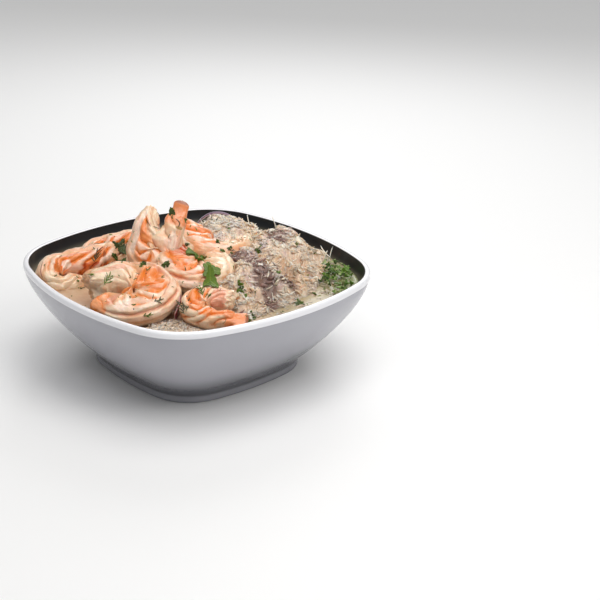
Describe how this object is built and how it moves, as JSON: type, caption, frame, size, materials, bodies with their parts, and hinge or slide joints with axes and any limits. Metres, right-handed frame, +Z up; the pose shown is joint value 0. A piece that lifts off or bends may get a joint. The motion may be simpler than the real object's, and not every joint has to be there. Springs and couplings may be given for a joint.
{
  "type": "shrimp ceviche in a square bowl",
  "caption": "Shrimp ceviche in a square bowl with rounded corners: curled shrimps and a heap of flaked seafood in pale broth, with herbs and red onion.",
  "frame": {"origin": "centre of the bowl's foot, on the surface that the bowl stands on", "axes": "+Z up; X and Y along the bowl's sides, with the shrimps towards the corner between -X and -Y and the heap towards +X"},
  "size_m": [0.165, 0.165, 0.093],
  "materials": {
    "bowl": "glossy white melamine, charcoal and satin inside",
    "shrimp": "moist, with orange bands and pale lips",
    "heap": "moist flakes with darker skin",
    "broth": "cloudy liquid with a wet gloss",
    "herb": "satin leaf",
    "onion": "moist red onion skin"
  },
  "bodies": {
    "root": {"bowl": "bowl", "shrimp_front": "shrimp", "shrimp_left": "shrimp", "shrimp_standing": "shrimp", "shrimp_right": "shrimp", "shrimp_middle": "shrimp", "shrimp_back": "shrimp", "shrimp_behind": "shrimp", "onion_back": "onion", "onion_front": "onion", "herb_clump": "herb", "heap": "heap", "leaf_middle": "herb", "leaf_middle_low": "herb", "leaf_back": "herb", "leaf_left": "herb", "leaf_behind": "herb", "leaf_tail": "herb", "broth": "broth"}
  },
  "joints": []
}
